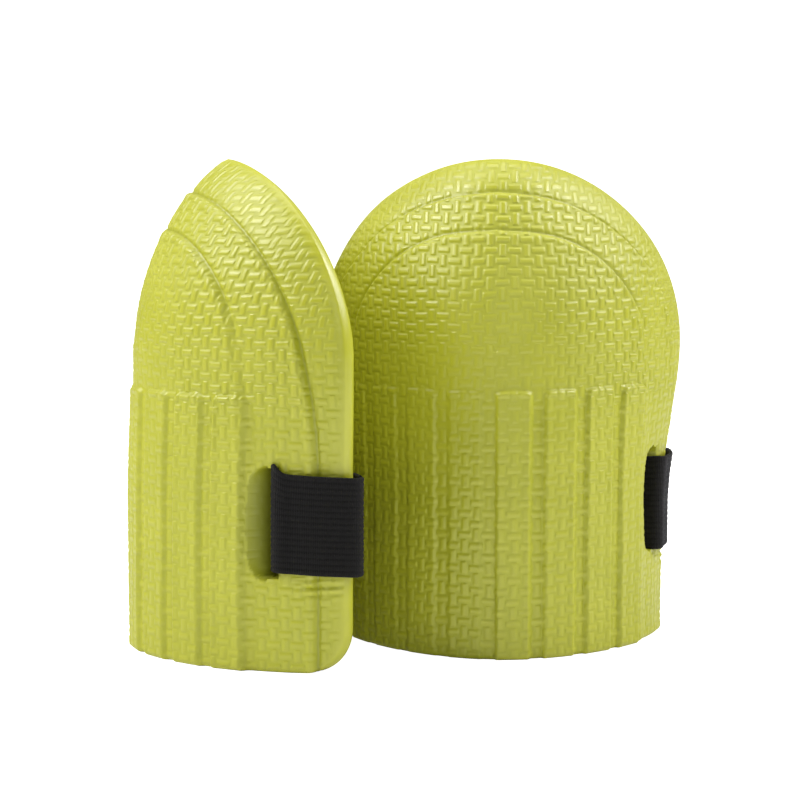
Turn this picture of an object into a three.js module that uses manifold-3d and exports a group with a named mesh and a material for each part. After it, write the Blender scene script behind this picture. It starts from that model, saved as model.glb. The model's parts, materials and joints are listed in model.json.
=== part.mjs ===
// A pair of moulded foam knee pads, each with one elastic strap that closes with hook and loop.
// Units are millimetres, +Z is up. In a pad's own frame the front faces -Y and the rim lies in the
// plane y = 0, so "depth" below means distance forward from the rim plane, along -Y.
import * as THREE from 'three';
import { mergeVertices } from 'three/addons/utils/BufferGeometryUtils.js';
import Module from 'manifold-3d';

const wasm = await Module();
wasm.setup();

// ---- the foam shell -------------------------------------------------------------------------
const PAD_HEIGHT = 181.3;
const SHOULDER_Z = 110.4;         // the dome starts here, below it the pad is a half pipe
const HALF_WIDTH_TOP = 71.2;
const HALF_WIDTH_FOOT = 63.2;
const DEPTH_TOP = 76.7;          // depth of the front at the shoulder, before the raised steps
const DEPTH_FOOT = 78;
const APEX_DEPTH = 38.9;         // the rim leans forward by this much at the very top
const NARROWING_STARTS_Z = 50;
const SIDE_POWER_TOP = 1.11;     // exponents of the two section curves
const FRONT_POWER_TOP = 1.38;
const SECTION_WIDTH_POWER = 1.5;
const SECTION_DEPTH_POWER = 2.02;
const FRONT_ROUNDING = 0.35;
const RIM_LEAN_POWER = 1.59;
const RIM_LEAN_MIX = 0.2;
const APEX_ROUNDING = 0.12;
const WALL_SIDE = 9;
const WALL_FRONT = 13;
const RIM_ROUND = 2.5;
const FOOT_CORNER_RADIUS = 15;   // the rim's two lower corners

// ---- raised steps and ribs on the outer face, by arc length from the rim -----------------------
const STEP_1_ARC = { foot: 13.5, shoulder: 19.3, top: 22.7, swell: 4.6 };
const STEP_2_ARC = { foot: 38, shoulder: 43.8, top: 39.3, swell: 3.4 };
const STEP_TURNS_Z = 68;         // below this a step runs straight down
const STEP_RUN = 2;              // the width of a step's sloping face
const STEP_1_HEIGHT = { side: 1.3, top: 0.6 };
const STEP_2_HEIGHT = { side: 1.4, top: 0.5 };
const RIB_COUNT_PER_HALF = 4;
const RIB_PITCH = 17.9;
const RIB_WIDTH = 12.8;
const RIB_EDGE = 1.2;
const RIB_HEIGHT = 1;
const RIB_TOP_Z = 96.5;

// ---- strap and what is sewn to it ---------------------------------------------------------------
const STRAP_WIDTH = 35;
const STRAP_THICKNESS = 1.6;
const STRAP_LOW_Z = 35;
const STRAP_MIDDLE_Z = STRAP_LOW_Z + STRAP_WIDTH / 2;
const LAYER_GAP = 0.35;          // clearance between layers that lie on each other
const SLOT_ARC = 28.8;            // arc length from the rim to the slot
const SLOT_WIDTH = 4.4;
const SLOT_MARGIN = 2;           // the slot is this much taller than the strap at each end
const SCOOP_WIDTH = 8.5;
const SCOOP_DEPTH = 5;
const PATCH_THICKNESS = 1.1;
const PATCH_MARGIN = 2;          // strap showing above and below a patch
const LOOP_PATCH_LENGTH = 36;
const HOOK_PATCH_LENGTH = 19;
const THREAD_WIDTH = 0.9;
const THREAD_THICKNESS = 0.5;
const STRAP_STRAIGHT_X = 43;     // the back span runs straight from here to the middle
const STRAP_SIDE_DEPTH = 8.5;
const STRAP_MIDDLE_DEPTH = 12;
const LAP_LENGTH = 24;
const TAIL_PIVOT = { x: 57.1, depth: -2.6 };
const TAIL_END_X = 24;
const FINE_STEP = 0.4;           // ribbons are sampled this finely for bends,
const BEND_PER_STATION = 0.22;   // and get a new cross-section for each of these turns, in radians,
const LONGEST_STATION_GAP = 14;  // or after this length where they run straight

// ---- where the two pads stand ----------------------------------------------------------------
const LEFT_PLACE = { x: -24.29, y: 0.18, turn: 85.7 };
const RIGHT_PLACE = { x: 35.21, y: 40.98, turn: 3.5 };

const material = (color, roughness) => new THREE.MeshStandardMaterial({ color, roughness, metalness: 0 });
const MATERIALS = {
  foam: material(0xb9c33c, 0.55),
  webbing: material(0x1d1a1f, 0.85),
  hook: material(0x141316, 0.7),
  loop: material(0x18171a, 0.95),
  thread: material(0x26242a, 0.6),
};

const mix = (a, b, t) => a + (b - a) * t;
const smooth = (t) => t * t * (3 - 2 * t);
const clamp01 = (t) => Math.min(1, Math.max(0, t));
const flip = (route) => route.map(([x, y]) => [-x, y]);

// ---- the shell's base surface ---------------------------------------------------------------------
// How far the section has grown from the foot's, 0, to the shoulder's, 1.
const growth = (z) => smooth(clamp01((z - NARROWING_STARTS_Z) / (SHOULDER_Z - NARROWING_STARTS_Z)));

// angle runs from PI / 2 at the rim to 0 on the centre line; inset makes the inner face.
function pipePoint(angle, z, inset) {
  const w = growth(z);
  const width = mix(HALF_WIDTH_FOOT, HALF_WIDTH_TOP, w) - inset.side;
  const depth = mix(DEPTH_FOOT, DEPTH_TOP, w) - inset.front;
  const widthPower = mix(SECTION_WIDTH_POWER, 2 / SIDE_POWER_TOP, w);
  const depthPower = mix(SECTION_DEPTH_POWER, 2 / FRONT_POWER_TOP, w);
  const rounding = FRONT_ROUNDING * (1 - w) + 1e-6;
  const across = Math.pow(Math.sin(angle), mix(1, SIDE_POWER_TOP, w));
  const bend = (u) => Math.pow(u * u + rounding * rounding, widthPower / 2);
  const used = (bend(across) - bend(0)) / (bend(1) - bend(0));
  return new THREE.Vector3(width * across, -depth * Math.pow(clamp01(1 - used), 1 / depthPower), z);
}

function domePoint(angle, turn, inset) {
  const lift = Math.sin(turn);
  const fall = Math.hypot(Math.cos(turn), APEX_ROUNDING) - APEX_ROUNDING;
  const roundLean = 1 - fall / (Math.hypot(1, APEX_ROUNDING) - APEX_ROUNDING);
  const lean = mix(roundLean, Math.pow(lift, RIM_LEAN_POWER), RIM_LEAN_MIX);
  const rimDepth = APEX_DEPTH * lean;
  const out = Math.pow(Math.sin(angle), SIDE_POWER_TOP);
  const front = Math.pow(Math.cos(angle), FRONT_POWER_TOP);
  const x = (HALF_WIDTH_TOP - inset.side) * out * Math.cos(turn);
  const z = SHOULDER_Z + (PAD_HEIGHT - SHOULDER_Z - inset.side) * out * lift;
  return new THREE.Vector3(Math.abs(x) < 1e-9 ? 0 : x, -mix(rimDepth, DEPTH_TOP - inset.front, front), z);
}

const OUTER = { side: 0, front: 0 };
const INNER = { side: WALL_SIDE, front: WALL_FRONT };

// A row of the half shell: a curve from the rim to the centre line.
const PIPE_ROWS_Z = [0, 1.5, 5, 10, 16, 34, 53, 71.5, RIB_TOP_Z - 1, RIB_TOP_Z, RIB_TOP_Z + 1, SHOULDER_Z];
const DOME_ROWS = 9;

function shellRows() {
  const rows = PIPE_ROWS_Z.map((z) => ({ z, at: (angle, inset) => pipePoint(angle, z, inset) }));
  for (let i = 1; i <= DOME_ROWS; i += 1) {
    const turn = (i / DOME_ROWS) * (Math.PI / 2);
    rows.push({ z: Infinity, turn, at: (angle, inset) => domePoint(angle, turn, inset) });
  }
  return rows;
}

// The rim is cut back near the floor, where its corner is round.
function rimCut(z) {
  if (z >= FOOT_CORNER_RADIUS) return 0;
  const rise = FOOT_CORNER_RADIUS - z;
  return FOOT_CORNER_RADIUS - Math.sqrt(FOOT_CORNER_RADIUS ** 2 - rise ** 2);
}

// The angle at a given arc length from the rim, and the row's whole arc length.
function arcTable(row) {
  const samples = 240;
  const lengths = [0];
  let last = row.at(Math.PI / 2, OUTER);
  for (let i = 1; i <= samples; i += 1) {
    const next = row.at((1 - i / samples) * (Math.PI / 2), OUTER);
    lengths.push(lengths[i - 1] + next.distanceTo(last));
    last = next;
  }
  const whole = lengths[samples];
  const angleAt = (arc) => {
    if (arc >= whole) return 0;
    let i = 1;
    while (lengths[i] < arc) i += 1;
    const part = (arc - lengths[i - 1]) / (lengths[i] - lengths[i - 1]);
    return (1 - (i - 1 + part) / samples) * (Math.PI / 2);
  };
  return { whole, angleAt };
}

// The arc length from the rim to a step: it runs up the pipe, then swings out and back over the dome.
function stepArc(step, row) {
  if (row.turn === undefined) {
    const part = clamp01((row.z - STEP_TURNS_Z) / (SHOULDER_Z - STEP_TURNS_Z));
    return mix(step.foot, step.shoulder, part * part);
  }
  return mix(step.shoulder, step.top, row.turn / (Math.PI / 2)) + step.swell * Math.sin(2 * row.turn);
}

// Outer columns from the rim to the centre line, as arc length and height above the base surface.
function outerColumns(row, whole) {
  const start = rimCut(row.z);
  const half = STEP_RUN / 2;
  const rise = Math.sin(row.turn ?? 0) ** 2;
  const step1 = stepArc(STEP_1_ARC, row);
  const step2 = stepArc(STEP_2_ARC, row);
  const low = -mix(STEP_1_HEIGHT.side, STEP_1_HEIGHT.top, rise);
  const high = mix(STEP_2_HEIGHT.side, STEP_2_HEIGHT.top, rise);
  const columns = [
    { arc: start, lift: low - RIM_ROUND },
    { arc: start + RIM_ROUND, lift: low },
    { arc: Math.max(start + RIM_ROUND + 1, step1 - half), lift: low },
    { arc: Math.max(start + RIM_ROUND + 3, step1 + half), lift: 0 },
    { arc: (step1 + step2) / 2, lift: 0 },
    { arc: step2 - half, lift: 0 },
    { arc: step2 + half, lift: high },
  ];
  const fieldWidth = whole - Math.max(step2 - RIB_EDGE, STEP_2_ARC.foot) - half;
  const footField = RIB_PITCH * RIB_COUNT_PER_HALF + 0.6;
  const ribbed = row.z <= RIB_TOP_Z - 1;
  for (let k = RIB_COUNT_PER_HALF - 1; k >= 0; k -= 1) {
    const centre = (k + 0.5) * RIB_PITCH;
    for (const [side, top] of [[1, 0], [1, 1], [-1, 1], [-1, 0]]) {
      const offset = side * (RIB_WIDTH / 2 + (top ? -RIB_EDGE / 2 : RIB_EDGE / 2));
      const arc = whole - (fieldWidth * (centre + offset)) / footField;
      columns.push({ arc, lift: high + (ribbed && top ? RIB_HEIGHT : 0) });
    }
  }
  columns.push({ arc: whole, lift: high });
  return columns;
}

function liftedPoint(row, angle, lift) {
  const outer = row.at(angle, OUTER);
  const outward = outer.clone().sub(row.at(angle, INNER)).normalize();
  if (outer.z === 0) outward.setZ(0).normalize();
  return outer.addScaledVector(outward, lift);
}

const INNER_STEPS = [0, 0.06, 0.13, 0.2, 0.28, 0.4, 0.55, 0.7, 0.85, 1];

function halfShellGrids() {
  const outer = [];
  const inner = [];
  for (const row of shellRows()) {
    const { whole, angleAt } = arcTable(row);
    outer.push(outerColumns(row, whole).map(({ arc, lift }) => liftedPoint(row, angleAt(arc), lift)));
    const startAngle = angleAt(rimCut(row.z));
    inner.push(INNER_STEPS.map((part) => row.at(startAngle * (1 - part), INNER)));
  }
  return { outer, inner };
}

// Triangles of a quad grid, and of a strip between two curves with different numbers of points.
function gridTriangles(grid, out) {
  for (let r = 0; r + 1 < grid.length; r += 1) {
    for (let c = 0; c + 1 < grid[r].length; c += 1) {
      const [a, b, d, e] = [grid[r][c], grid[r][c + 1], grid[r + 1][c], grid[r + 1][c + 1]];
      out.push([a, d, b], [b, d, e]);
    }
  }
}

function stripTriangles(first, second, out) {
  let i = 0;
  let j = 0;
  while (i < first.length - 1 || j < second.length - 1) {
    const nextFirst = i < first.length - 1 ? first[i + 1].distanceTo(second[j]) : Infinity;
    const nextSecond = j < second.length - 1 ? first[i].distanceTo(second[j + 1]) : Infinity;
    if (nextFirst <= nextSecond) {
      out.push([first[i], first[i + 1], second[j]]);
      i += 1;
    } else {
      out.push([first[i], second[j + 1], second[j]]);
      j += 1;
    }
  }
}

// One welded geometry from a list of triangles; triangles with two equal corners are left out.
function weld(triangles) {
  const keys = new Map();
  const positions = [];
  const index = [];
  const number = (p) => {
    const key = `${Math.round(p.x * 1e4)},${Math.round(p.y * 1e4)},${Math.round(p.z * 1e4)}`;
    if (!keys.has(key)) {
      keys.set(key, positions.length / 3);
      positions.push(p.x, p.y, p.z);
    }
    return keys.get(key);
  };
  for (const triangle of triangles) {
    const [a, b, c] = triangle.map(number);
    if (a !== b && b !== c && a !== c) index.push(a, b, c);
  }
  const geometry = new THREE.BufferGeometry();
  geometry.setAttribute('position', new THREE.Float32BufferAttribute(positions, 3));
  geometry.setIndex(index);
  return geometry;
}

function foamShell() {
  const { outer, inner } = halfShellGrids();
  const half = [];
  gridTriangles(outer, half);
  const innerHalf = [];
  gridTriangles(inner, innerHalf);
  innerHalf.forEach(([a, b, c]) => half.push([a, c, b]));
  gridTriangles([outer.map((row) => row[0]), inner.map((row) => row[0])], half);
  const foot = [];
  stripTriangles(outer[0], inner[0], foot);
  foot.forEach((triangle) => half.push(triangle));
  const mirror = (p) => new THREE.Vector3(-p.x, p.y, p.z);
  const mirrored = half.map(([a, b, c]) => [mirror(a), mirror(c), mirror(b)]);
  return weld([...half, ...mirrored]);
}

// ---- solids and cuts ----------------------------------------------------------------------------
function toManifold(geometry) {
  const bare = geometry.clone();
  bare.deleteAttribute('normal');
  bare.deleteAttribute('uv');
  const merged = mergeVertices(bare, 1e-4);
  return new wasm.Manifold(new wasm.Mesh({
    numProp: 3,
    vertProperties: new Float32Array(merged.attributes.position.array),
    triVerts: new Uint32Array(merged.index.array),
  }));
}

function toGeometry(solid) {
  const mesh = solid.getMesh();
  const geometry = new THREE.BufferGeometry();
  geometry.setAttribute('position', new THREE.Float32BufferAttribute(mesh.vertProperties, 3));
  geometry.setIndex(Array.from(mesh.triVerts));
  return geometry;
}

// A prism that stands upright on an outline of [x, y] points, from lowZ upwards.
function prism(outline, lowZ, height) {
  const shape = new THREE.Shape(outline.map(([x, y]) => new THREE.Vector2(x, y)));
  const geometry = new THREE.ExtrudeGeometry(shape, { depth: height, bevelEnabled: false, steps: 1 });
  return geometry.translate(0, 0, lowZ);
}

// An upright solid whose outline changes from level to level; every outline has as many points.
function loft(outlineAt, levels) {
  const rings = levels.map((z) => outlineAt(z).map(([x, y]) => new THREE.Vector3(x, y, z)));
  const triangles = [];
  for (let k = 0; k + 1 < rings.length; k += 1) {
    const [low, high] = [rings[k], rings[k + 1]];
    low.forEach((point, i) => {
      const next = (i + 1) % low.length;
      triangles.push([point, low[next], high[i]], [low[next], high[next], high[i]]);
    });
  }
  const cap = (ring) => THREE.ShapeUtils.triangulateShape(ring.map((p) => new THREE.Vector2(p.x, p.y)), []);
  const [first, last] = [rings[0], rings[rings.length - 1]];
  cap(first).forEach(([a, b, c]) => triangles.push([first[a], first[c], first[b]]));
  cap(last).forEach(([a, b, c]) => triangles.push([last[a], last[b], last[c]]));
  return weld(triangles);
}

// ---- the wall at a height, seen from above ----------------------------------------------------------
const tables = new Map();

function rowAt(z) {
  if (!tables.has(z)) {
    const row = { z, at: (angle, inset) => pipePoint(angle, z, inset) };
    tables.set(z, { ...row, ...arcTable(row) });
  }
  return tables.get(z);
}

function wallFrame(arc, z) {
  const row = rowAt(z);
  const angle = row.angleAt(arc);
  const outer = row.at(angle, OUTER);
  const inner = row.at(angle, INNER);
  const outward = outer.clone().sub(inner).normalize();
  return { outer, inner, outward, forward: new THREE.Vector3(outward.y, -outward.x, 0) };
}

// A point beside the wall: along is measured forward from an arc length, out is away from a face.
function besideWall(face, arc, along, out, z) {
  const frame = wallFrame(arc, z);
  const start = frame[face];
  return [
    start.x + frame.forward.x * along + frame.outward.x * out,
    start.y + frame.forward.y * along + frame.outward.y * out,
  ];
}

// The strap's slot through the wall, with a scooped recess in front of it.
function slotCutter(side) {
  const halfSlot = SLOT_WIDTH / 2;
  const corners = [
    [-halfSlot, 6], [-halfSlot, -20], [halfSlot, -20], [halfSlot, -SCOOP_DEPTH],
    [halfSlot + SCOOP_WIDTH, 0], [halfSlot + SCOOP_WIDTH, 6],
  ];
  const outlineAt = (z) => {
    const points = corners.map(([along, out]) => besideWall('outer', SLOT_ARC, along, out, z));
    return side > 0 ? points : flip(points).reverse();
  };
  const levels = [STRAP_LOW_Z - SLOT_MARGIN, STRAP_MIDDLE_Z, STRAP_LOW_Z + STRAP_WIDTH + SLOT_MARGIN];
  return toManifold(loft(outlineAt, levels));
}

function foamShellWithSlots() {
  const shell = toManifold(foamShell());
  return toGeometry(shell.subtract(slotCutter(1)).subtract(slotCutter(-1)));
}

// ---- ribbons --------------------------------------------------------------------------------------
// A flat ribbon that stands on edge: a smooth route seen from above, at each height, with a thickness.
function ribbon(routeAt, thickness, margin, roundStart = false) {
  const curveAt = (z) => new THREE.CatmullRomCurve3(
    routeAt(z).map(([x, y]) => new THREE.Vector3(x, y, 0)), false, 'centripetal');
  const stations = bendStations(curveAt(STRAP_MIDDLE_Z));
  const outlineAt = (z) => {
    const curve = curveAt(z);
    const edge = (side) => stations.map((at) => {
      const point = curve.getPointAt(at);
      const along = curve.getTangentAt(at);
      return [point.x + (side * along.y * thickness) / 2, point.y - (side * along.x * thickness) / 2];
    });
    const outline = [...edge(1), ...edge(-1).reverse()];
    return roundStart ? [...outline, ...roundEnd(curve, thickness / 2)] : outline;
  };
  return loft(outlineAt, [STRAP_LOW_Z + margin, STRAP_MIDDLE_Z, STRAP_LOW_Z + STRAP_WIDTH - margin]);
}

// Places along a curve, from 0 to 1, one wherever its heading has turned enough.
function bendStations(curve) {
  const fine = Math.ceil(curve.getLength() / FINE_STEP);
  const stations = [0];
  let heading = curve.getTangentAt(0);
  for (let i = 1; i < fine; i += 1) {
    const next = curve.getTangentAt(i / fine);
    const gap = (i / fine - stations[stations.length - 1]) * curve.getLength();
    if (next.angleTo(heading) > BEND_PER_STATION || gap > LONGEST_STATION_GAP) {
      stations.push(i / fine);
      heading = next;
    }
  }
  stations.push(1);
  return stations;
}

// The points of a half-round end at a route's start.
function roundEnd(curve, radius) {
  const point = curve.getPointAt(0);
  const along = curve.getTangentAt(0);
  const heading = Math.atan2(along.y, along.x);
  return [1, 2, 3, 4, 5].map((k) => {
    const angle = heading + Math.PI / 2 + (k * Math.PI) / 6;
    return [point.x + radius * Math.cos(angle), point.y + radius * Math.sin(angle)];
  });
}

// The back span is straight from each side to the middle; away is measured behind its centre.
function spanPoint(x, away) {
  const slope = (STRAP_MIDDLE_DEPTH - STRAP_SIDE_DEPTH) / STRAP_STRAIGHT_X;
  const depth = STRAP_MIDDLE_DEPTH - slope * Math.abs(x);
  return [x, -depth + away * Math.sqrt(1 + slope * slope)];
}

// From the straight span, along the inner wall, out through the slot and back round the rim.
function sideRoute(z) {
  const off = STRAP_THICKNESS / 2 + LAYER_GAP;
  const inside = (arc, away) => besideWall('inner', arc, 0, -away, z);
  const outside = (arc, away) => besideWall('outer', arc, 0, away, z);
  const inSlot = (along, out) => besideWall('outer', SLOT_ARC, along, out, z);
  const rimX = outside(0, -STEP_1_HEIGHT.side)[0];
  return [
    [STRAP_STRAIGHT_X + 4.5, -STRAP_SIDE_DEPTH + 0.1], inside(12, off + 1), inside(17, off + 0.6),
    inside(22, off + 0.6), inside(26, off + 0.8), inSlot(-0.5, -WALL_SIDE - 0.6),
    inSlot(0, -7), inSlot(0, -3), inSlot(-0.6, 0.4), inSlot(-3.2, off + 0.7),
    outside(21, off + 0.7), outside(16, off + 0.7), outside(11, off + 0.5), outside(5, off - 0.3),
    [rimX + off + 0.2, 0.6], [rimX - 0.3, 2.4], [rimX - 3, 3],
  ];
}


function strapRoute(z) {
  const side = sideRoute(z);
  const spanRight = [STRAP_STRAIGHT_X, 38, 26, 13].map((x) => spanPoint(x, 0));
  const span = [...spanRight, spanPoint(0, 0), ...flip(spanRight).reverse()];
  const lapAway = STRAP_THICKNESS + LAYER_GAP;
  const lapStart = -STRAP_STRAIGHT_X + 1;
  const lap = [[-53.8, 2.2], [-49.8, -1.4], [-46.2, -5.3], spanPoint(lapStart, lapAway),
    spanPoint(lapStart + 5, lapAway), spanPoint(lapStart + LAP_LENGTH / 2, lapAway),
    spanPoint(lapStart + LAP_LENGTH, lapAway)];
  return [...side.slice().reverse(), ...span, ...flip(side), ...lap];
}

function strap() {
  return ribbon(strapRoute, STRAP_THICKNESS, 0);
}

// The free end of the strap, folded back behind the span with the two patches between them.
const HOOK_AWAY = STRAP_THICKNESS / 2 + PATCH_THICKNESS * 1.5 + LAYER_GAP * 2;
const LOOP_AWAY = STRAP_THICKNESS / 2 + PATCH_THICKNESS / 2 + LAYER_GAP;
const TAIL_AWAY = STRAP_THICKNESS + PATCH_THICKNESS * 2 + LAYER_GAP * 3;

function strapTail() {
  const route = [[TAIL_PIVOT.x, -TAIL_PIVOT.depth], [52.6, 1.6], [48, -1.6], spanPoint(44.5, TAIL_AWAY),
    spanPoint(40, TAIL_AWAY), spanPoint(32, TAIL_AWAY), spanPoint(TAIL_END_X, TAIL_AWAY)];
  return ribbon(() => route, STRAP_THICKNESS, 0, true);
}

function patch(startX, length, away) {
  const route = [startX, startX - length / 2, startX - length].map((x) => spanPoint(x, away));
  return ribbon(() => route, PATCH_THICKNESS, PATCH_MARGIN);
}

// ---- sewing ---------------------------------------------------------------------------------------
// A sewn rectangle, with two crossing diagonals if crossed, as one flat solid.
function sewnFrame(length, height, crossed) {
  const points = (list) => list.map(([x, y]) => new THREE.Vector2(x, y));
  const [l, h] = [length / 2, height / 2];
  const [x, y] = [l - THREAD_WIDTH, h - THREAD_WIDTH];
  const shape = new THREE.Shape(points([[-l, -h], [l, -h], [l, h], [-l, h]]));
  if (crossed) {
    const t = THREAD_WIDTH;
    for (const sign of [1, -1]) {
      shape.holes.push(new THREE.Path(points([[t - x, sign * y], [x - t, sign * y], [0, (sign * t * y) / x]])));
      shape.holes.push(new THREE.Path(points([[sign * x, t - y], [sign * x, y - t], [(sign * t * x) / y, 0]])));
    }
  } else {
    shape.holes.push(new THREE.Path(points([[-x, -y], [x, -y], [x, y], [-x, y]])));
  }
  return new THREE.ExtrudeGeometry(shape, { depth: THREAD_THICKNESS, bevelEnabled: false });
}

// Stands a flat frame up behind the span: its middle at x, its back face away from the span's centre.
function placeOnSpan(geometry, x, away) {
  const [spanX, spanY] = spanPoint(x, away);
  const slope = Math.atan2(STRAP_MIDDLE_DEPTH - STRAP_SIDE_DEPTH, STRAP_STRAIGHT_X);
  geometry.rotateX(Math.PI / 2).translate(0, THREAD_THICKNESS / 2, 0);
  geometry.rotateZ(Math.sign(x) * slope);
  return geometry.translate(spanX, spanY, STRAP_MIDDLE_Z);
}

const SEWN_HEIGHT = STRAP_WIDTH - 2 * PATCH_MARGIN - 3;
const HOOK_START_X = 43;
const LOOP_START_X = 41;
const onFace = STRAP_THICKNESS / 2 + LAYER_GAP + THREAD_THICKNESS / 2;

const anchorStitching = () => placeOnSpan(
  sewnFrame(18, SEWN_HEIGHT, true), -STRAP_STRAIGHT_X + 14, STRAP_THICKNESS + LAYER_GAP + onFace);
const hookStitching = () => placeOnSpan(
  sewnFrame(HOOK_PATCH_LENGTH - 3, SEWN_HEIGHT, false), HOOK_START_X - HOOK_PATCH_LENGTH / 2, TAIL_AWAY + onFace);
const loopStitching = () => placeOnSpan(
  sewnFrame(LOOP_PATCH_LENGTH - 3, SEWN_HEIGHT, false), LOOP_START_X - LOOP_PATCH_LENGTH / 2, -onFace);

// ---- the pair ----------------------------------------------------------------------------------------
function kneePad(side, place) {
  const pad = new THREE.Group();
  const pieces = [
    ['foam_shell', foamShellWithSlots(), MATERIALS.foam],
    ['strap', strap(), MATERIALS.webbing],
    ['strap_tail', strapTail(), MATERIALS.webbing],
    ['hook_patch', patch(HOOK_START_X, HOOK_PATCH_LENGTH, HOOK_AWAY), MATERIALS.hook],
    ['loop_patch', patch(LOOP_START_X, LOOP_PATCH_LENGTH, LOOP_AWAY), MATERIALS.loop],
    ['anchor_stitching', anchorStitching(), MATERIALS.thread],
    ['hook_stitching', hookStitching(), MATERIALS.thread],
    ['loop_stitching', loopStitching(), MATERIALS.thread],
  ];
  for (const [name, geometry, look] of pieces) {
    const mesh = new THREE.Mesh(geometry, look.clone());
    mesh.name = `${side}_${name}`;
    pad.add(mesh);
  }
  pad.position.set(place.x, place.y, 0);
  pad.rotation.z = -THREE.MathUtils.degToRad(place.turn);
  return pad;
}

const kneePads = new THREE.Group();
kneePads.add(kneePad('left', LEFT_PLACE), kneePad('right', RIGHT_PLACE));

export default kneePads;
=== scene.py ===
"""Looks of a pair of moulded foam knee pads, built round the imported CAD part."""
import json
import math

import bmesh
import bpy
import numpy as np
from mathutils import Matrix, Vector


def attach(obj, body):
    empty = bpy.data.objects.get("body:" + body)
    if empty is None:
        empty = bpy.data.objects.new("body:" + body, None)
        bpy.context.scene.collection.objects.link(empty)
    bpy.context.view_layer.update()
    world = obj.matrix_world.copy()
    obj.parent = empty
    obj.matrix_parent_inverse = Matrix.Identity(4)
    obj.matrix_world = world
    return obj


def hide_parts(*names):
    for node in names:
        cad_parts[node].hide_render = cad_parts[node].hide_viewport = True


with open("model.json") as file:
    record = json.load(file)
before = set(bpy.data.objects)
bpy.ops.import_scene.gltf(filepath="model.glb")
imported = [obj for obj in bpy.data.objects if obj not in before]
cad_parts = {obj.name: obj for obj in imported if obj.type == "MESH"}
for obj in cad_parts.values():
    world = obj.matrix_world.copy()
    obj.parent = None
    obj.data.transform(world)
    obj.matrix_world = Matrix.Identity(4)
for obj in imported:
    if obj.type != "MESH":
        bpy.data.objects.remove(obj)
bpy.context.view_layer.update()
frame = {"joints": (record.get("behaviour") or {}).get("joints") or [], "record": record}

MM = 0.001

# ---- the pad's own shape, in millimetres: front faces -Y, rim in the plane y = 0 -----------------
PAD_HEIGHT = 181.3
SHOULDER_Z = 110.4
HALF_WIDTH_TOP, HALF_WIDTH_FOOT = 71.2, 63.2
DEPTH_TOP, DEPTH_FOOT = 76.7, 78.0
APEX_DEPTH = 38.9
NARROWING_STARTS_Z = 50.0
SIDE_POWER_TOP, FRONT_POWER_TOP = 1.11, 1.38
SECTION_WIDTH_POWER, SECTION_DEPTH_POWER = 1.5, 2.02
FRONT_ROUNDING = 0.35
RIM_LEAN_POWER, RIM_LEAN_MIX, APEX_ROUNDING = 1.59, 0.2, 0.12
WALL_SIDE, WALL_FRONT = 9.0, 13.0
RIM_FACET, RIM_FACET_SLOPE, RIM_ROUND_OUTER, RIM_ROUND_INNER = 3.6, 1.0, 1.0, 2.2
FOOT_CORNER_RADIUS, FOOT_ROUND = 15.0, 1.5
STEP_1_FOOT, STEP_1_SHOULDER, STEP_1_TOP, STEP_1_SWELL = 13.5, 19.3, 22.7, 4.6
STEP_2_FOOT, STEP_2_SHOULDER, STEP_2_TOP, STEP_2_SWELL = 38.0, 43.8, 39.3, 3.4
STEP_TURNS_Z = 68.0
STEP_1_HEIGHT, STEP_2_HEIGHT = 1.3, 1.4
STEP_1_HEIGHT_TOP, STEP_2_HEIGHT_TOP = 0.6, 0.5
RIB_PITCH, RIB_WIDTH, RIB_TOP_Z, RIB_COUNT = 17.9, 12.8, 96.5, 4
SMOOTH_SPOT = 0.5
RIB_HEIGHTS = {1: 1.35, -1: 0.5}
RIB_SHIFTS = {"left": 2.8, "right": -2.4}
STRAP_WIDTH, STRAP_THICKNESS, STRAP_LOW_Z = 35.0, 1.6, 35.0
STRAP_TOP_Z = STRAP_LOW_Z + STRAP_WIDTH
STRAP_MIDDLE_Z = STRAP_LOW_Z + STRAP_WIDTH / 2
LAYER_GAP = 0.35
SLOT_ARC, SLOT_HALF, SLOT_MARGIN = 28.8, 2.2, 2.0
SLOT_REACH_Z = STRAP_WIDTH / 2 + SLOT_MARGIN
SLOT_LOW_Z, SLOT_HIGH_Z = STRAP_LOW_Z - SLOT_MARGIN, STRAP_TOP_Z + SLOT_MARGIN
SCOOP_WIDTH, SCOOP_DEPTH = 7.4, 7.5
STRAP_STRAIGHT_X, STRAP_SIDE_DEPTH, STRAP_MIDDLE_DEPTH = 43.0, 8.5, 12.0
LAP_LENGTH = 24.0
TAIL_PIVOT, TAIL_END_X = (57.1, 2.6), 24.0
PATCH_THICKNESS, PATCH_MARGIN = 1.1, 2.0
LOOP_START_X, LOOP_LENGTH = 41.0, 36.0
HOOK_START_X, HOOK_LENGTH = 43.0, 19.0
STRAP_RIB, STRAP_RIB_DEPTH, STRAP_EDGE = STRAP_WIDTH / 17, 0.22, 0.55
HOOK_AWAY = STRAP_THICKNESS / 2 + PATCH_THICKNESS * 1.5 + LAYER_GAP * 2
LOOP_AWAY = STRAP_THICKNESS / 2 + PATCH_THICKNESS / 2 + LAYER_GAP
LAP_AWAY = STRAP_THICKNESS + LAYER_GAP
TAIL_AWAY = STRAP_THICKNESS + PATCH_THICKNESS * 2 + LAYER_GAP * 3
SEWN_HEIGHT, SEWN_MARGIN = STRAP_WIDTH - 2 * PATCH_MARGIN - 3, 3
ON_FACE = STRAP_THICKNESS / 2 + 0.02
STITCH_PITCH, THREAD_RADIUS = 2.7, 0.3
FOOT_MOUNT_DEPTH = 72.0

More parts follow.
